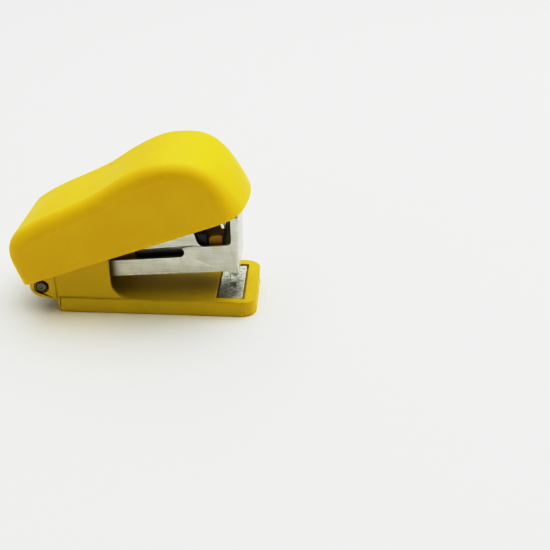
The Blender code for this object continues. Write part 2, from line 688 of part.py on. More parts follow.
def makeCover(owner):
    """The moulded handle cover: a shell over the whole top, open below, and two posts for the frame."""
    cover = pillow("handle_cover", 0.0, coverOuter, shoulderRadius, 5, yellowPlastic, owner)
    cavity = pillow("cover_inside", coverWall, coverInner, shoulderRadius - coverWall, 3,
                    owner=owner)
    far = coverFront + 10 * mm
    earRoom = earRadius + 0.35 * mm
    cut(cover, cavity,
        box("cover_rim", (-far, -far, -far), (far, far, rimRise), owner=owner),
        box("cover_rear_gap", (-far, -coverInner, 0), (coverWall + mm, coverInner, rimRise + earRoom),
            owner=owner))
    for index, (at, root) in enumerate(((postRearU, coverRearRise - coverWall / 2),
                                        (postFrontU, coverCrownRise - coverWall))):
        post = bar("cover_post_%d" % (index + 1), 1.2 * mm, (at, 0, plateTop + gap), (at, 0, root),
                   owner=owner)
        stake = bar("cover_stake_%d" % (index + 1), 0.6 * mm, (at, 0, plateUnder - 0.3 * mm),
                    (at, 0, plateTop + 1 * mm), owner=owner, sides=16)
        fuse(cover, post, stake)
    return cover


def makeFrame(owner):
    """The handle's steel frame: an upturned channel, with a lug at each side on the pivot pin."""
    low = rimRise + 0.2 * mm
    front = math.sqrt(bladeInner**2 - plateTop**2) - 0.1 * mm
    side = arc(lugRadius, math.radians(150), math.radians(290), 10)
    side += fillet([(4.2 * mm, low, 1.5 * mm), (front - 4.5 * mm, low, 1.0 * mm),
                    (front, low + 4.0 * mm, 0.8 * mm), (front, plateTop, 0.5 * mm),
                    (2.6 * mm, plateTop, 0.8 * mm)], 4)
    frame = prism("handle_frame", side, -frameOuter, frameOuter, magazineSteel, owner)
    far = reach + 10 * mm
    across = frameOuter + 1 * mm
    cut(frame,
        box("frame_inside", (-far, -frameInner, -far), (far, frameInner, plateUnder), owner=owner),
        bar("frame_bore", holeRadius, (0, -across, 0), (0, across, 0), owner=owner))
    for index, at in enumerate((postRearU, postFrontU)):
        cut(frame, bar("stake_hole_%d" % (index + 1), 0.6 * mm + gap, (at, 0, plateUnder - mm),
                       (at, 0, plateTop + mm), owner=owner, sides=16))
    holes = [(returnRivetU, 0)] + [(driverRivetU, side * driverRivetSpread) for side in (1, -1)]
    for index, (at, y) in enumerate(holes):
        cut(frame, bar("frame_rivet_hole_%d" % (index + 1), rivetRadius + gap, (at, y, plateUnder - mm),
                       (at, y, plateTop + mm), owner=owner, sides=16))
    return frame


def makeBlade(owner):
    """The driver blade: an arc about the pivot, so it slides along itself, with a tab under the frame."""
    restAngle = math.asin(bladeLift / reach) - (handleTilt - magazineTilt)
    tabHeight = plateUnder - gap - bladeSheet / 2
    topAngle = math.asin((tabHeight - 0.8 * mm) / reach)
    path = arc(reach, restAngle, topAngle, 10)
    path += [Vector((math.sqrt(reach**2 - tabHeight**2) - 0.9 * mm, tabHeight)),
             Vector((driverRivetU - 2.0 * mm, tabHeight))]
    half = stapleWidth / 2 - 0.1 * mm
    blade = prism("driver_blade", ribbon(path, bladeSheet), -half, half, brightSteel, owner)
    for side in (1, -1):
        name = "left" if side > 0 else "right"
        at = (driverRivetU, side * driverRivetSpread)
        cut(blade, bar("blade_hole_" + name, rivetRadius + gap, (*at, tabHeight - mm), (*at, tabHeight + mm),
                       owner=owner, sides=16))
        rivet("driver_rivet_" + name, rivetRadius, rivetHead, rivetHeadHeight,
              tabHeight - bladeSheet / 2 - 0.15 * mm, plateTop + 0.15 * mm, (*at, 0), (0, 0, 1),
              brightSteel, owner)
    return blade


def makeReturnSpring(owner):
    """The handle's leaf spring: riveted under the frame, its rear end rests on the magazine's core."""
    level = plateUnder - gap - springSheet / 2
    turn = handleTilt - magazineTilt
    contact = Vector((8.6 * mm, railTop + gap + springSheet / 2 + 0.05 * mm))
    foot = Matrix.Rotation(-turn, 2) @ contact
    curl = Matrix.Rotation(-turn, 2) @ (contact + Vector((-1.2 * mm, 0.45 * mm)))
    path = smoothPath([Vector((returnRivetU + 1.8 * mm, level)), Vector((returnRivetU - 2.0 * mm, level)),
                       foot.lerp(Vector((returnRivetU - 2.0 * mm, level)), 0.55) + Vector((0, 0.5 * mm)),
                       foot, curl], 5)
    half = returnSpringWidth / 2
    spring = prism("handle_return_spring", ribbon(path, springSheet), -half, half, springSteel, owner)
    cut(spring, bar("return_spring_hole", rivetRadius + gap, (returnRivetU, 0, level - mm),
                    (returnRivetU, 0, level + mm), owner=owner, sides=16))
    rivet("return_spring_rivet", rivetRadius, rivetHead, rivetHeadHeight,
          level - springSheet / 2 - 0.15 * mm, plateTop + 0.15 * mm,
          (returnRivetU, 0, 0), (0, 0, 1), brightSteel, owner)


# Where the small fastenings go.
liftRivetX = pivotX + 7.6 * mm
coreRivetU = coreRear + 1.0 * mm
coreRivetV = railFoot + 1.2 * mm
railRivetU = coreFront + 4.0 * mm
railRivetY = railHalf - magazineSheet - 0.6 * mm
followerCoreRear = pushRear - gap - 1.6 * mm
postRearU = 7.0 * mm
postFrontU = reach - 10.0 * mm
returnRivetU = reach - 14.6 * mm
driverRivetU = reach - 5.0 * mm

for old in list(bpy.data.objects):
    bpy.data.objects.remove(old)
parts = collection("compact_stapler")
cutters = collection("cutters")
cutters.hide_render = True

yellowPlastic = material("yellow_plastic", (0.80, 0.60, 0.02), 0.42)
magazineSteel = material("magazine_steel", (0.62, 0.62, 0.60), 0.35, 1.0)
brightSteel = material("bright_steel", (0.70, 0.71, 0.70), 0.22, 1.0)
springSteel = material("spring_steel", (0.28, 0.28, 0.29), 0.38, 1.0)
darkSteel = material("dark_steel", (0.10, 0.11, 0.11), 0.45, 1.0)

magazineAxis = axisEmpty("magazine_axis", magazineTilt)
handleAxis = axisEmpty("handle_axis", handleTilt)

makeBase()
makeAnvil()
makeLiftSpring()
makePin()
makeChannel(magazineAxis)
makeRail(magazineAxis)
makeCore(magazineAxis)
makeSpring(magazineAxis)
makeFollower(magazineAxis)
makeSleeve(magazineAxis)
makeCover(handleAxis)
makeFrame(handleAxis)
makeBlade(handleAxis)
makeReturnSpring(handleAxis)

for made in parts.objects:
    if made.type == "MESH":
        made.data.shade_smooth()
        made.data.set_sharp_from_angle(angle=math.radians(35))
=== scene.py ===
import json
import math

import bmesh
import bpy
from mathutils import Matrix, Vector

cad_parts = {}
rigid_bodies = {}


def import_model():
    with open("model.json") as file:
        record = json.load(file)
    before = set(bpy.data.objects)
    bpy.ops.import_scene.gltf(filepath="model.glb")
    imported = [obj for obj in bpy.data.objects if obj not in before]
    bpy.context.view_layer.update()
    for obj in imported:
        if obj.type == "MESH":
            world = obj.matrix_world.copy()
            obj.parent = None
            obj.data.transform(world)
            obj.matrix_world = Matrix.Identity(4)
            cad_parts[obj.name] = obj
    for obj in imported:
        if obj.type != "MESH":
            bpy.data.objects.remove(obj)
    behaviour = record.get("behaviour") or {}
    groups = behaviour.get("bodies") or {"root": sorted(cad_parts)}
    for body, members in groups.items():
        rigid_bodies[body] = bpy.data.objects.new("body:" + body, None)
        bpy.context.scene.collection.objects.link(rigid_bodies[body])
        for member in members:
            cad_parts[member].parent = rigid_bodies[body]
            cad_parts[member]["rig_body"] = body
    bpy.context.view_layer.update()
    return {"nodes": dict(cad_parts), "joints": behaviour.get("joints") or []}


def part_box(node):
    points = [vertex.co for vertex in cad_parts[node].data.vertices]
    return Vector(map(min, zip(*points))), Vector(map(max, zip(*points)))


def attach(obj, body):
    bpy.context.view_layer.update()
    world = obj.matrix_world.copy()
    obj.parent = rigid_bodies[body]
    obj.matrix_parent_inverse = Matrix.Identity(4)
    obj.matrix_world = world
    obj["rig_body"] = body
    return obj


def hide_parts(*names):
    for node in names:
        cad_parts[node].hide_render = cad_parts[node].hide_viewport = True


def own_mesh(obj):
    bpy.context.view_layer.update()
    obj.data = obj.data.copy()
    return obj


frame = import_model()
mm = 0.001

# How far above level the two swinging bodies sit at rest about the pivot pin, and how far the magazine is
# pressed down from there, in degrees.
rest = dict(magazineTilt=5.3, handleTilt=20.5, magazinePress=6.3)
joints = {joint["name"]: joint for joint in frame["joints"]}
pivot = Vector(joints["handle_pivot"]["pos_m"])


def tilted(degrees):
    return Matrix.Translation(pivot) @ Matrix.Rotation(-math.radians(degrees), 4, "Y")


axesOf = dict(base=Matrix.Translation(pivot), magazine=tilted(rest["magazineTilt"]),
              handle=tilted(rest["handleTilt"]))
print("frame loaded:", len(frame["nodes"]), "nodes")


# Effects that several finishes share, each a node group.

def newGroup(name, inputs, outputs):
    group = bpy.data.node_groups.new(name, "ShaderNodeTree")
    for label, value in inputs.items():
        kind = "NodeSocketVector" if isinstance(value, tuple) else "NodeSocketFloat"
        group.interface.new_socket(label, in_out="INPUT", socket_type=kind).default_value = value
    for label, kind in outputs.items():
        group.interface.new_socket(label, in_out="OUTPUT", socket_type="NodeSocket" + kind)
    return group, group.nodes.new("NodeGroupInput"), group.nodes.new("NodeGroupOutput")


def addNode(tree, kind, inputs=None, **settings):
    node = tree.nodes.new("ShaderNode" + kind)
    for key, value in settings.items():
        setattr(node, key, value)
    for socket, value in (inputs or {}).items():
        if isinstance(value, bpy.types.NodeSocket):
            tree.links.new(value, node.inputs[socket])
        else:
            node.inputs[socket].default_value = value
    return node


def maths(tree, operation, a, b=0.0):
    return addNode(tree, "Math", {0: a, 1: b}, operation=operation, use_clamp=True).outputs[0]


def remap(tree, value, fromLow, fromHigh, toLow=0.0, toHigh=1.0):
    return addNode(tree, "MapRange", {"Value": value, "From Min": fromLow, "From Max": fromHigh,
                                      "To Min": toLow, "To Max": toHigh}).outputs["Result"]


def noise(tree, where, scale, detail=3.0, roughness=0.55):
    return addNode(tree, "TexNoise", {"Vector": where, "Scale": scale, "Detail": detail,
                                      "Roughness": roughness}).outputs["Fac"]


def blendColour(tree, factor, a, b):
    return addNode(tree, "Mix", {0: factor, 6: a, 7: b}, data_type="RGBA").outputs[2]


def times(tree, a, factor, plus):
    # a * factor + plus, with no clamp.
    return addNode(tree, "Math", {0: a, 1: factor, 2: plus}, operation="MULTIPLY_ADD").outputs[0]


def makeEdgeWear():
    # Bright where an edge stands proud, broken up by a noise, so that it isn't an even line.
    group, given, put = newGroup("edgeWear", {"Vector": (0.0, 0.0, 0.0), "Reach": 0.04, "Breakup": 900.0},
                                 {"Mask": "Float"})
    pointed = addNode(group, "NewGeometry").outputs["Pointiness"]
    edge = remap(group, pointed, 0.52, 0.60)
    broken = remap(group, noise(group, given.outputs["Vector"], given.outputs["Breakup"], 4.0), 0.35, 0.65)
    reach = maths(group, "MULTIPLY", edge, given.outputs["Reach"])
    group.links.new(maths(group, "MULTIPLY", reach, broken), put.inputs["Mask"])
    return group


def makeHandling():
    # Where hands and time have left their marks: broad smudges, fine specks and short scuffs.
    group, given, put = newGroup("handling",
                                 {"Vector": (0.0, 0.0, 0.0), "Smudge": 0.5, "Speck": 0.5, "Scuff": 0.5},
                                 {"Smudges": "Float", "Specks": "Float", "Scuffs": "Float"})
    where = given.outputs["Vector"]
    smudge = remap(group, noise(group, where, 140.0, 3.0, 0.6), 0.45, 0.72)
    speck = remap(group, noise(group, where, 2600.0, 2.0, 0.5), 0.70, 0.78)
    warp = addNode(group, "Mapping", {"Vector": where, "Rotation": (0.3, 0.5, 0.9),
                                      "Scale": (30.0, 900.0, 900.0)})
    scuff = remap(group, noise(group, warp.outputs["Vector"], 1.0, 4.0, 0.7), 0.66, 0.74)
    patch = remap(group, noise(group, where, 90.0, 2.0), 0.5, 0.62)
    scuff = maths(group, "MULTIPLY", scuff, patch)
    for amount, value in dict(Smudge=smudge, Speck=speck, Scuff=scuff).items():
        group.links.new(maths(group, "MULTIPLY", value, given.outputs[amount]), put.inputs[amount + "s"])
    return group


def makeMouldGrain():
    # The fine spark-eroded grain of an injection mould, with a slow waviness under it.
    group, given, put = newGroup("mouldGrain", {"Vector": (0.0, 0.0, 0.0), "Grain": 5200.0, "Wave": 120.0},
                                 {"Height": "Float", "Tone": "Float"})
    where = given.outputs["Vector"]
    grain = noise(group, where, given.outputs["Grain"], 2.0, 0.5)
    wave = noise(group, where, given.outputs["Wave"], 2.0, 0.5)
    group.links.new(times(group, grain, 0.6, wave), put.inputs["Height"])
    group.links.new(wave, put.inputs["Tone"])
    return group


def makeRollingGrain():
    # Sheet metal's rolling lines, which run along one axis, over a cloudy plating.
    group, given, put = newGroup("rollingGrain", {"Vector": (0.0, 0.0, 0.0), "Along": 60.0, "Across": 5200.0,
                                                  "Cloud": 420.0},
                                 {"Lines": "Float", "Clouds": "Float", "Pits": "Float"})
    where = given.outputs["Vector"]
    stretch = addNode(group, "CombineXYZ", {"X": given.outputs["Along"], "Y": given.outputs["Across"],
                                            "Z": given.outputs["Across"]}).outputs[0]
    long = addNode(group, "VectorMath", {0: where, 1: stretch}, operation="MULTIPLY").outputs[0]
    group.links.new(noise(group, long, 1.0, 3.0, 0.6), put.inputs["Lines"])
    group.links.new(noise(group, where, given.outputs["Cloud"], 4.0, 0.62), put.inputs["Clouds"])
    pits = noise(group, where, 3400.0, 2.0, 0.5)
    group.links.new(remap(group, pits, 0.64, 0.75), put.inputs["Pits"])
    return group


effects = dict(wear=makeEdgeWear(), handling=makeHandling(), mould=makeMouldGrain(),
               rolled=makeRollingGrain())


def useGroup(tree, name, where, **inputs):
    node = addNode(tree, "Group")
    node.node_tree = effects[name]
    tree.links.new(where, node.inputs["Vector"])
    for label, value in inputs.items():
        node.inputs[label].default_value = value
    return node.outputs


def startFinish(name, metallic, look, **sockets):
    made = bpy.data.materials.new(name)
    made.use_nodes = True
    tree = made.node_tree
    shader = tree.nodes["Principled BSDF"]
    shader.inputs["Metallic"].default_value = metallic
    for label, value in sockets.items():
        shader.inputs[label.replace("_", " ")].default_value = value
    made.diffuse_color = (*look, 1.0)
    where = addNode(tree, "TexCoord").outputs["Object"]
    return made, tree, shader, where


def joinFinish(tree, shader, colour, roughness, height, depth, strength):
    bump = addNode(tree, "Bump", {"Height": height, "Distance": depth, "Strength": strength})
    tree.links.new(colour, shader.inputs["Base Color"])
    tree.links.new(roughness, shader.inputs["Roughness"])
    tree.links.new(bump.outputs["Normal"], shader.inputs["Normal"])


def shade(look, share):
    # A colour for a socket: each part of look times share, up to full.
    return (*[min(1.0, part * share) for part in look], 1)


def mouldedPlastic(name, look, deep, worn, roughness, gloss=0.28):
    made, tree, shader, where = startFinish(name, 0.0, look, IOR=1.5, Specular_IOR_Level=gloss,
                                            Subsurface_Weight=0.1, Subsurface_Radius=(1.0, 0.5, 0.05),
                                            Subsurface_Scale=0.8 * mm)
    mould = useGroup(tree, "mould", where)
    marks = useGroup(tree, "handling", where, Smudge=0.5, Speck=0.35, Scuff=0.5)
    wear = useGroup(tree, "wear", where, Reach=0.5)
    speckShade, smudgeRough, scuffRough, grainDepth, grainStrength = 0.6, 0.16, 0.2, 0.02 * mm, 0.35
    toned = remap(tree, mould["Tone"], 0.35, 0.65, 0.0, 0.5)
    colour = blendColour(tree, toned, shade(look, 1), shade(deep, 1))
    colour = blendColour(tree, marks["Specks"], colour, shade(deep, speckShade))
    colour = blendColour(tree, wear["Mask"], colour, shade(worn, 1))
    rough = times(tree, marks["Smudges"], smudgeRough, roughness)
    rough = times(tree, marks["Scuffs"], scuffRough, rough)
    joinFinish(tree, shader, colour, rough, mould["Height"], grainDepth, grainStrength)
    return made


def rolledSteel(name, look, dark, roughness, mottle, lines=0.3, along=60.0, across=5200.0, cloud=420.0):
    made, tree, shader, where = startFinish(name, 1.0, look)
    sheet = useGroup(tree, "rolled", where, Along=along, Across=across, Cloud=cloud)
    marks = useGroup(tree, "handling", where, Smudge=0.6, Speck=0.5, Scuff=0.8)
    wear = useGroup(tree, "wear", where, Reach=0.8)
    lineShade, pitShade, wornShade = 0.7, 0.5, 1.2
    smudgeRough, cloudRough, scuffRough, grainDepth, grainStrength = 0.14, 0.18, 0.15, 0.008 * mm, 0.5
    cloudy = remap(tree, sheet["Clouds"], 0.36, 0.64, 0.0, mottle)
    colour = blendColour(tree, cloudy, shade(look, 1), shade(dark, 1))
    streak = remap(tree, sheet["Lines"], 0.4, 0.7, 0.0, lines)
    colour = blendColour(tree, streak, colour, shade(dark, lineShade))
    pitted = maths(tree, "MULTIPLY", sheet["Pits"], mottle)
    colour = blendColour(tree, pitted, colour, shade(dark, pitShade))
    colour = blendColour(tree, wear["Mask"], colour, shade(look, wornShade))
    rough = times(tree, marks["Smudges"], smudgeRough, roughness)
    rough = times(tree, cloudy, cloudRough, rough)
    rough = times(tree, marks["Scuffs"], scuffRough, rough)
    height = times(tree, sheet["Clouds"], mottle, sheet["Lines"])
    joinFinish(tree, shader, colour, rough, height, grainDepth, grainStrength)
    return made


finishes = dict(
    cover=mouldedPlastic("coverPlastic", (0.86, 0.615, 0.006), (0.82, 0.57, 0.005), (0.90, 0.70, 0.04),
                         0.40),
    base=mouldedPlastic("basePlastic", (0.80, 0.60, 0.012), (0.75, 0.545, 0.010), (0.88, 0.70, 0.06), 0.44),
    inner=mouldedPlastic("innerPlastic", (0.66, 0.40, 0.018), (0.56, 0.32, 0.012),
                         (0.74, 0.50, 0.05), 0.48, 0.2),
    magazine=rolledSteel("magazineSteel", (0.67, 0.665, 0.60), (0.50, 0.495, 0.44), 0.30, 0.35),
    # Painted shade: the rail's steel is made dark so that the slot in the channel wall, through which the
    # rail shows, reads dark.
    rail=rolledSteel("railSteelSlotShade", (0.28, 0.27, 0.24), (0.15, 0.145, 0.13), 0.34, 0.5),
    frame=rolledSteel("frameSteel", (0.58, 0.58, 0.56), (0.40, 0.40, 0.39), 0.34, 0.45),
    anvil=rolledSteel("anvilSteel", (0.70, 0.72, 0.65), (0.36, 0.37, 0.32),
                      0.32, 1.0, 0.1, 700.0, 700.0, 1500.0),
    bright=rolledSteel("brightSteel", (0.76, 0.76, 0.75), (0.60, 0.60, 0.60), 0.18, 0.25, 0.15, 900.0, 900.0),
    pin=rolledSteel("pinSteel", (0.30, 0.28, 0.22), (0.14, 0.13, 0.10), 0.38, 0.6, 0.15, 900.0, 900.0),
    # Spring steel is dark of itself, and is made darker still as painted shade, so that the coil seen through
    # the slot in the channel wall reads dark.
    spring=rolledSteel("springSteelSlotShade", (0.34, 0.34, 0.35), (0.20, 0.19, 0.19), 0.28, 0.5, 0.3),
    slider=rolledSteel("blackenedSteel", (0.10, 0.10, 0.10), (0.05, 0.05, 0.05), 0.38, 0.6, 0.2),
)
print("finishes made:", len(finishes))


def finished(name, shape, body, slotName, finish, *nodes, sharp=32.0):
    mesh = bpy.data.meshes.new(name)
    shape.to_mesh(mesh)
    shape.free()
    mesh.materials.append(finishes[finish])
    mesh.shade_smooth()
    mesh.set_sharp_from_angle(angle=math.radians(sharp))
    made = bpy.data.objects.new(name, mesh)
    bpy.context.scene.collection.objects.link(made)
    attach(made, body)
    if nodes:
        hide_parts(*nodes)
    even = made.modifiers.new("evenNormals", "WEIGHTED_NORMAL")
    even.keep_sharp = True
    return made


def roundEdges(shape, edges, width, segments=3):
    bmesh.ops.bevel(shape, geom=edges, offset=width, offset_type="OFFSET", affect="EDGES", segments=segments,
                    profile=0.5, material=-1, clamp_overlap=False, loop_slide=True)


def sharpEdges(shape, degrees):
    return [edge for edge in shape.edges
            if len(edge.link_faces) == 2 and edge.calc_face_angle(0.0) > math.radians(degrees)]


def fromNode(node):
    # A CAD node's own solid, with its loose triangles joined.
    shape = bmesh.new()
    shape.from_mesh(frame["nodes"][node].data)
    bmesh.ops.remove_doubles(shape, verts=shape.verts, dist=0.001 * mm)
    shape.normal_update()
    return shape


def coverOutline(form, inset):
    # The side view of the cover, in the handle's axes, from its rear foot over the top to its front foot.
    rise, front, rear = form["crownRise"] - form["rearRise"], form["front"], -form["rear"]
    foot = form["rim"] - 4.0 * mm
    knots = [Vector(point) for point in (
        (rear, foot), (rear, form["rim"]), (rear + 0.1 * mm, form["rearRise"] - 5.0 * mm),
        (rear + 0.7 * mm, form["rearRise"] - 2.6 * mm), (rear + 2.1 * mm, form["rearRise"] - 1.0 * mm),
        (rear + 4.3 * mm, form["rearRise"] - 0.15 * mm), (rear + 9.0 * mm, form["rearRise"] + 0.18 * rise),
        (front - 24.4 * mm, form["rearRise"] + 0.42 * rise),
        (front - 17.9 * mm, form["crownRise"] - 0.55 * mm),
        (front - 12.5 * mm, form["crownRise"]), (front - 8.4 * mm, form["crownRise"] - 0.8 * mm),
        (front - 5.1 * mm, form["crownRise"] - 2.4 * mm), (front - 2.6 * mm, form["crownRise"] - 5.0 * mm),
        (front - 1.0 * mm, form["crownRise"] - 8.5 * mm), (front, form["rim"]), (front, foot))]
    path = []
    for index in range(len(knots) - 1):
        p0, p1, p2, p3 = (knots[min(max(index + step, 0), len(knots) - 1)] for step in (-1, 0, 1, 2))
        for step in range(form["outlineSteps"]):
            t = step / form["outlineSteps"]
            path.append(0.5 * (2 * p1 + (p2 - p0) * t + (2 * p0 - 5 * p1 + 4 * p2 - p3) * t * t
                               + (3 * p1 - p0 - 3 * p2 + p3) * t ** 3))
    path.append(knots[-1])
    moved = []
    for index, point in enumerate(path):
        along = path[min(index + 1, len(path) - 1)] - path[max(index - 1, 0)]
        moved.append(point + Vector((along.y, -along.x)).normalized() * inset)
    return moved


def pillow(form, inset, half, radius):
    # The outline drawn across from side to side, pulled in towards both sides in a quarter round. Its rear
    # corners are tighter than that, and it narrows towards the nose, whose front is bowed.
    shape = bmesh.new()
    steps = form["shoulderSteps"]
    turns = [math.pi / 2 * step / steps for step in range(steps + 1)]
    layers = [(radius * (1 - math.cos(turn)) - half, radius * (1 - math.sin(turn))) for turn in turns]
    layers += [(-y, drawnIn) for y, drawnIn in reversed(layers)]
    before = None
    for index, (y, drawnIn) in enumerate(layers):
        ring = []
        for point in coverOutline(form, inset + drawnIn):
            rearness = min(max((form["rearStart"] - point.x) / form["rearBlend"], 0.0), 1.0)
            back = drawnIn * (1 - form["rearShare"]) * rearness
            ring.append(shape.verts.new((point.x - back, y, point.y)))
        loop = [shape.edges.new((ring[step - 1], ring[step])) for step in range(len(ring))]
        if index in (0, len(layers) - 1):
            bmesh.ops.contextual_create(shape, geom=loop)
        if before:
            bmesh.ops.bridge_loops(shape, edges=before + loop)
        before = loop
    taperStart = form["front"] - form["taperLength"]
    bands = form["taperBands"]
    planes = [((1, 0, 0), (taperStart + form["taperLength"] * band / bands, 0, 0)) for band in range(bands)]
    planes += [((0, 1, 0), (0, form["half"] * form["bowSpan"] * (2 * band / bands - 1), 0))
               for band in range(1, bands)]
    for normal, point in planes:
        everything = list(shape.verts) + list(shape.edges) + list(shape.faces)
        bmesh.ops.bisect_plane(shape, geom=everything, dist=0.0001 * mm, plane_no=normal, plane_co=point)
    for vert in shape.verts:
        nearNose = max((vert.co.x - taperStart) / form["taperLength"], 0.0)
        vert.co.x -= form["bulge"] * (vert.co.y / form["half"] * nearNose) ** 2
        vert.co.y *= 1 - form["taper"] * nearNose ** 2
    bmesh.ops.triangulate(shape, faces=[face for face in shape.faces if len(face.verts) > 4])
    bmesh.ops.recalc_face_normals(shape, faces=shape.faces)
    return shape


def asObject(name, shape):
    mesh = bpy.data.meshes.new(name)
    shape.to_mesh(mesh)
    shape.free()
    made = bpy.data.objects.new(name, mesh)
    bpy.context.scene.collection.objects.link(made)
    return made


def carved(name, solid, cutters, joined=()):
    # The solid less the cutters, plus what is joined to it, as one closed shape.
    made = asObject(name, solid)
    helpers = []
    for operation, shapes in (("DIFFERENCE", cutters), ("UNION", joined)):
        for index, shape in enumerate(shapes):
            helper = asObject("%s_%s_%d" % (name, operation.lower(), index), shape)
            step = made.modifiers.new(helper.name, "BOOLEAN")
            step.operation, step.object, step.solver = operation, helper, "EXACT"
            helpers.append(helper)
    graph = bpy.context.evaluated_depsgraph_get()
    result = bmesh.new()
    result.from_mesh(bpy.data.meshes.new_from_object(made.evaluated_get(graph)))
    for helper in [made] + helpers:
        bpy.data.objects.remove(helper)
    bmesh.ops.remove_doubles(result, verts=result.verts, dist=0.001 * mm)
    return result


def block(low, high):
    shape = bmesh.new()
    bmesh.ops.create_cube(shape, size=1.0)
    size = Vector(high) - Vector(low)
    bmesh.ops.scale(shape, vec=size, verts=shape.verts)
    bmesh.ops.translate(shape, vec=Vector(low) + size / 2, verts=shape.verts)
    return shape


def rod(radius, start, end, sides=32):
    shape = bmesh.new()
    start, end = Vector(start), Vector(end)
    bmesh.ops.create_cone(shape, cap_ends=True, segments=sides, radius1=radius, radius2=radius,
                          depth=(end - start).length)
    turn = (end - start).to_track_quat("Z", "Y").to_matrix().to_4x4()
    bmesh.ops.transform(shape, matrix=Matrix.Translation((start + end) / 2) @ turn, verts=shape.verts)
    return shape


def buildCover():
    form = dict(front=39.8 * mm, rear=2.5 * mm, rearRise=11.4 * mm, crownRise=14.8 * mm, rim=1.8 * mm,
                half=9.7 * mm, wall=1.3 * mm, shoulder=2.7 * mm, earRoom=2.45 * mm, outlineSteps=8,
                shoulderSteps=9, rearStart=3.0 * mm, rearBlend=5.0 * mm, rearShare=0.5, taper=0.10,
                bulge=1.6 * mm, bowSpan=0.7, taperLength=7.0 * mm, taperBands=12,
                rimRound=0.22 * mm, rimAngle=50, rimSlack=0.02 * mm, flatAngle=0.3, sliver=0.04 * mm,
                postRadius=1.2 * mm, posts=(7.0 * mm, 23.8 * mm), postFoot=9.8 * mm)
    far = 60 * mm
    inner = form["half"] - form["wall"]
    outside = pillow(form, 0.0, form["half"], form["shoulder"])
    inside = pillow(form, form["wall"], inner, form["shoulder"] - form["wall"])
    roots = (form["rearRise"] - form["wall"] / 2, form["crownRise"] - form["wall"])
    shape = carved("cover", outside, [
        inside,
        block((-far, -far, -far), (far, far, form["rim"])),
        block((-far, -inner, 0), (form["wall"] + 1 * mm, inner, form["rim"] + form["earRoom"])),
    ], [rod(form["postRadius"], (at, 0, form["postFoot"]), (at, 0, root))
        for at, root in zip(form["posts"], roots)])
    bmesh.ops.dissolve_limit(shape, angle_limit=math.radians(form["flatAngle"]), verts=shape.verts,
                             edges=shape.edges)
    bmesh.ops.dissolve_degenerate(shape, dist=form["sliver"], edges=shape.edges)
    shape.normal_update()
    rim = [edge for edge in sharpEdges(shape, form["rimAngle"])
           if max(abs(vert.co.z - form["rim"]) for vert in edge.verts) < form["rimSlack"]]
    roundEdges(shape, rim, form["rimRound"], 3)
    bmesh.ops.transform(shape, matrix=axesOf["handle"], verts=shape.verts)
    finished("cover", shape, "handle", "cover_plastic", "cover", "handle_cover")
    print("cover built")


def flattenUnder(spring):
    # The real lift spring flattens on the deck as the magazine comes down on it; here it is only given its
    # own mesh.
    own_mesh(spring)


def buildDressed():
    # Pieces whose CAD solid is already the right shape: their edges are broken as the real ones are.
    pieces = dict(
        base=("base_body", "base_plastic", "base", 0.14 * mm, 3),
        anvil=("anvil_plate", "anvil_steel", "anvil", 0.05 * mm, 2),
        lift_spring=("magazine_lift_spring", "spring_steel", "spring", 0.05 * mm, 2),
        rail=("staple_rail", "magazine_steel", "rail", 0.08 * mm, 3),
        core=("rail_core", "inner_plastic", "inner", 0.10 * mm, 3),
        follower_block=("follower", "inner_plastic", "inner", 0.10 * mm, 3),
        slider=("follower_slider", "dark_steel", "slider", 0.07 * mm, 3),
        press_frame=("handle_frame", "frame_steel", "frame", 0.08 * mm, 3),
        driver=("driver_blade", "bright_steel", "bright", 0.06 * mm, 2),
        return_spring=("handle_return_spring", "spring_steel", "spring", 0.05 * mm, 2),
        guide=("guide_rod", "bright_steel", "bright", 0.06 * mm, 2),
    )
    cornerAngle = 35
    for name, (node, slotName, finish, width, segments) in pieces.items():
        shape = fromNode(node)
        roundEdges(shape, sharpEdges(shape, cornerAngle), width, segments)
        made = finished(name, shape, frame["nodes"][node]["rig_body"], slotName, finish, node)
        if name == "lift_spring":
            flattenUnder(made)
    print("dressed pieces:", len(pieces))


def buildChannel():
    # The folded channel: the bends at its nose and along its floor are broad, its cut edges are fine.
    form = dict(bend=0.42 * mm, edge=0.06 * mm, outer=5.35 * mm, slack=0.05 * mm, shortest=3 * mm,
                foldAngle=60, edgeAngle=50, square=0.9)
    shape = fromNode("magazine_channel")
    back = axesOf["magazine"].inverted()
    bends = []
    for edge in sharpEdges(shape, form["foldAngle"]):
        normals = [back.to_3x3() @ face.normal for face in edge.link_faces]
        across = [abs(normal.y) for normal in normals]
        other = normals[across.index(min(across))]
        middle = back @ ((edge.verts[0].co + edge.verts[1].co) / 2)
        folded = other.x > form["square"] or other.z < -form["square"]
        atSide = max(across) > form["square"] and abs(middle.y) > form["outer"] - form["slack"]
        if atSide and folded and edge.calc_length() > form["shortest"]:
            bends.append(edge)
    roundEdges(shape, bends, form["bend"], 6)
    roundEdges(shape, sharpEdges(shape, form["edgeAngle"]), form["edge"], 2)
    finished("channel", shape, "magazine", "magazine_steel", "magazine", "magazine_channel")
    print("channel built, bends:", len(bends))


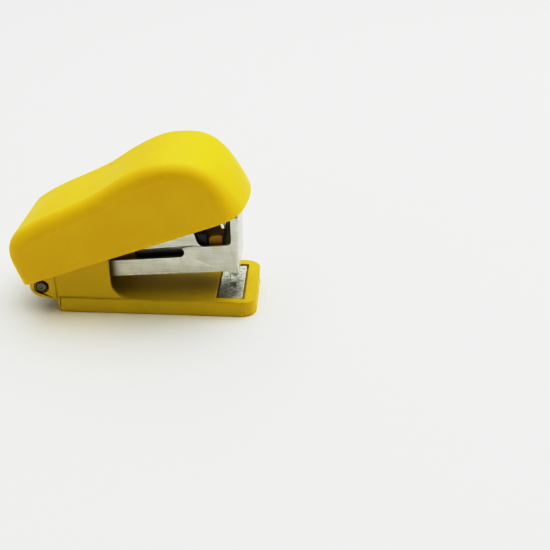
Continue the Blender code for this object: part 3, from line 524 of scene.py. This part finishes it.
def turnedShape(profile, at, along, sides=48):
    # A profile of (radius, height) points spun round its axis, which then runs through at along along.
    shape = bmesh.new()
    points = [shape.verts.new((radius, 0.0, height)) for radius, height in profile]
    loop = [shape.edges.new(pair) for pair in zip(points, points[1:])]
    bmesh.ops.spin(shape, geom=points + loop, cent=(0, 0, 0), axis=(0, 0, 1), dvec=(0, 0, 0),
                   angle=2 * math.pi, steps=sides, use_merge=True, use_duplicate=False)
    bmesh.ops.remove_doubles(shape, verts=shape.verts, dist=0.0005 * mm)
    bmesh.ops.recalc_face_normals(shape, faces=shape.faces)
    turn = Matrix.Translation(at) @ Vector(along).to_track_quat("Z", "Y").to_matrix().to_4x4()
    bmesh.ops.transform(shape, matrix=turn, verts=shape.verts)
    return shape


def dome(head, rise, level, sign):
    steps = 8
    turns = [math.pi / 2 * step / steps for step in range(steps + 1)]
    return [(head * math.cos(turn), level + sign * rise * math.sin(turn)) for turn in turns]


def middleOf(node):
    low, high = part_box(node)
    return (low + high) / 2


def buildRivets():
    # Each rivet: its body, its axis there, its length over both heads, head radius, head rise and shank.
    rivets = dict(
        lift_spring_rivet=("base", (0, 0, 1), 0.95, 0.30, 0.50),
        core_rivet=("magazine", (0, 1, 0), 0.95, 0.15, 0.50),
        rail_rivet_left=("magazine", (0, 0, 1), 0.70, 0.20, 0.40),
        rail_rivet_right=("magazine", (0, 0, 1), 0.70, 0.20, 0.40),
        driver_rivet_left=("handle", (0, 0, 1), 0.95, 0.40, 0.50),
        driver_rivet_right=("handle", (0, 0, 1), 0.95, 0.40, 0.50),
        return_spring_rivet=("handle", (0, 0, 1), 0.95, 0.40, 0.50),
    )
    for node, (body, along, head, rise, shank) in rivets.items():
        axes = axesOf[body].to_3x3()
        line = (axes @ Vector(along)).normalized()
        centre = middleOf(node)
        places = [(vertex.co - centre).dot(line) for vertex in frame["nodes"][node].data.vertices]
        half = (max(places) - min(places)) / 2
        middle = centre + line * (max(places) + min(places)) / 2
        profile = dome(head * mm, rise * mm, half - rise * mm, 1)[::-1] + [(shank * mm, half - rise * mm)]
        profile += [(radius, -height) for radius, height in reversed(profile)]
        shape = turnedShape(profile, middle, line)
        finished(node.replace("_rivet", "_stud"), shape, body, "bright_steel", "bright", node)
    print("rivets turned:", len(rivets))


def buildPin():
    # headEdge and tailEdge: the radius at each step round the edge, and how far that lies below the end.
    pin = dict(shank=0.8, head=1.0, thick=0.3, hole=1.1, sleeve=0.5,
               headEdge=((0.0, 0.0), (0.55, 0.0), (0.80, 0.03), (0.95, 0.11), (1.0, 0.18)),
               tailEdge=((0.88, 0.20), (0.70, 0.03), (0.42, 0.0), (0.28, 0.12), (0.0, 0.15)), tailRadius=0.9)
    low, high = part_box("pivot_pin")
    middle = Vector((pivot.x, 0.0, pivot.z))
    headFoot, tailFoot = high.y - pin["thick"] * mm, low.y + pin["thick"] * mm
    profile = [(radius * mm, high.y - drop * mm) for radius, drop in pin["headEdge"]]
    profile += [(pin["head"] * mm, headFoot), (pin["shank"] * mm, headFoot), (pin["shank"] * mm, tailFoot)]
    profile += [(pin["tailRadius"] * mm, tailFoot)]
    profile += [(radius * mm, low.y + drop * mm) for radius, drop in pin["tailEdge"]]
    finished("axle", turnedShape(profile, middle, (0, 1, 0)), "base", "bright_steel", "pin", "pivot_pin")
    low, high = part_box("pivot_sleeve")
    inside, outside = pin["hole"] * mm, (pin["hole"] + pin["sleeve"]) * mm
    tube = [(inside, high.y), (outside, high.y), (outside, low.y), (inside, low.y), (inside, high.y)]
    finished("sleeve", turnedShape(tube, middle, (0, 1, 0)), "magazine", "bright_steel", "bright",
             "pivot_sleeve")
    print("pin and sleeve turned")


def buildCoil():
    # The follower's coil spring, with a flat closed turn at each end. The real one shortens as the follower
    # goes back; here it is wound at one length and given its own mesh.
    coil = dict(radius=1.2 * mm, wire=0.2 * mm, turns=8, closed=1, closePitch=2.1, sides=10,
                stepsPerTurn=28)
    back = axesOf["magazine"].inverted()
    along = [(back @ vertex.co).x for vertex in frame["nodes"]["follower_spring"].data.vertices]
    height = (back @ middleOf("follower_spring")).z
    start, end = min(along) + coil["wire"], max(along) - coil["wire"]
    openTurns = coil["turns"] - 2 * coil["closed"]
    shape = bmesh.new()
    ring = bmesh.ops.create_circle(shape, cap_ends=False, radius=coil["wire"],
                                   segments=coil["sides"])["verts"]
    bmesh.ops.translate(shape, vec=(coil["radius"], 0, 0), verts=ring)
    bmesh.ops.rotate(shape, cent=(0, 0, 0), matrix=Matrix.Rotation(math.pi / 2, 3, "X"), verts=ring)
    geometry = list(shape.verts) + list(shape.edges)
    closedPitch = coil["closePitch"] * coil["wire"]
    stages = ((coil["closed"], closedPitch),
              (openTurns, (end - start - 2 * coil["closed"] * closedPitch) / openTurns),
              (coil["closed"], closedPitch))
    for turns, pitch in stages:
        steps = turns * coil["stepsPerTurn"]
        last = bmesh.ops.spin(shape, geom=geometry, cent=(0, 0, 0), axis=(0, 0, 1), use_merge=False,
                              dvec=(0, 0, turns * pitch / steps), angle=2 * math.pi * turns, steps=steps,
                              use_duplicate=False)["geom_last"]
        geometry = last
    bmesh.ops.holes_fill(shape, edges=[edge for edge in shape.edges if edge.is_boundary], sides=0)
    bmesh.ops.remove_doubles(shape, verts=shape.verts, dist=0.0005 * mm)
    bmesh.ops.recalc_face_normals(shape, faces=shape.faces)
    place = (axesOf["magazine"] @ Matrix.Translation((start, 0, height))
             @ Matrix.Rotation(math.pi / 2, 4, "Y"))
    bmesh.ops.transform(shape, matrix=place, verts=shape.verts)
    made = finished("coil_spring", shape, "magazine", "spring_steel", "spring", "follower_spring",
                    sharp=60.0)
    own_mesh(made)
    print("coil spring wound")


buildCover()
buildDressed()
buildChannel()
buildRivets()
buildPin()
buildCoil()


def buildStage():
    stage = dict(half=0.7, colour=(0.94, 0.935, 0.93), roughness=0.6)
    shape = bmesh.new()
    bmesh.ops.create_grid(shape, x_segments=2, y_segments=2, size=stage["half"])
    floor = asObject("floor", shape)
    paper = bpy.data.materials.new("stagePaper")
    paper.use_nodes = True
    shader = paper.node_tree.nodes["Principled BSDF"]
    shader.inputs["Base Color"].default_value = (*stage["colour"], 1)
    shader.inputs["Roughness"].default_value = stage["roughness"]
    shader.inputs["Specular IOR Level"].default_value = 0.2
    floor.data.materials.append(paper)


def buildLights():
    # Each lamp: where it stands, what it points at, its size, its power and its colour. The glow all round
    # grows from the front to the back, and the backdrop beyond the floor is as pale as backdrop says.
    glowing = dict(frontFacing=-0.6, backFacing=0.8, front=0.18, back=0.55, backdrop=1.3,
                   colour=(1.0, 0.99, 0.97, 1))
    lights = dict(
        top=((0.05, 0.14, 0.60), (0.0, 0.0, 0.01), 0.95, 5.4, (0.96, 1.0, 0.975)),
        right=((0.60, 0.12, 0.30), (0.0, 0.0, 0.02), 0.40, 0.8, (1.0, 1.0, 0.97)),
        left=((-0.45, -0.30, 0.18), (0.0, 0.0, 0.015), 0.40, 0.22, (1.0, 0.97, 0.90)),
    )
    for name, (place, aim, size, power, colour) in lights.items():
        lamp = bpy.data.lights.new(name, "AREA")
        lamp.shape, lamp.size, lamp.energy, lamp.color = "SQUARE", size, power, colour
        made = bpy.data.objects.new(name, lamp)
        bpy.context.scene.collection.objects.link(made)
        made.location = place
        made.rotation_euler = (Vector(aim) - Vector(place)).to_track_quat("-Z", "Y").to_euler()
    world = bpy.data.worlds.new("studio")
    world.use_nodes = True
    bpy.context.scene.world = world
    tree = world.node_tree
    facing = addNode(tree, "SeparateXYZ", {0: addNode(tree, "TexCoord").outputs["Generated"]}).outputs
    glow = remap(tree, facing["Y"], glowing["frontFacing"], glowing["backFacing"], glowing["front"],
                 glowing["back"])
    seen = addNode(tree, "LightPath").outputs["Is Camera Ray"]
    shown = addNode(tree, "Mix", {"Factor": seen, "A": glow, "B": glowing["backdrop"]}, data_type="FLOAT")
    tree.links.new(shown.outputs["Result"], tree.nodes["Background"].inputs["Strength"])
    tree.nodes["Background"].inputs["Color"].default_value = glowing["colour"]


def buildCamera():
    view = dict(fromPin=(45.966 * mm, -135.86 * mm, 75.84 * mm), down=29.35, left=2.1, roll=0.69, lens=55.6)
    lens = bpy.data.cameras.new("camera")
    lens.lens, lens.sensor_width, lens.clip_start = view["lens"], 36.0, 0.005
    camera = bpy.data.objects.new("camera", lens)
    bpy.context.scene.collection.objects.link(camera)
    camera.matrix_world = (Matrix.Translation(pivot + Vector(view["fromPin"]))
                           @ Matrix.Rotation(math.radians(view["left"]), 4, "Z")
                           @ Matrix.Rotation(math.radians(90 - view["down"]), 4, "X")
                           @ Matrix.Rotation(math.radians(view["roll"]), 4, "Z"))
    bpy.context.scene.camera = camera


def setResponse():
    # The camera's response: deep tones stay rich and bright ones roll off before they clip.
    response = dict(white=1.6,
                    tones=((0.06, 0.035), (0.225, 0.25), (0.31, 0.43), (0.52, 0.775), (0.72, 0.885)))
    view = bpy.context.scene.view_settings
    view.view_transform = "Standard"
    view.use_curve_mapping = True
    view.curve_mapping.white_level = (response["white"],) * 3
    for place in response["tones"]:
        view.curve_mapping.curves[3].points.new(*place)
    view.curve_mapping.update()


buildStage()
buildLights()
buildCamera()
setResponse()
print("stage, lights and camera set")
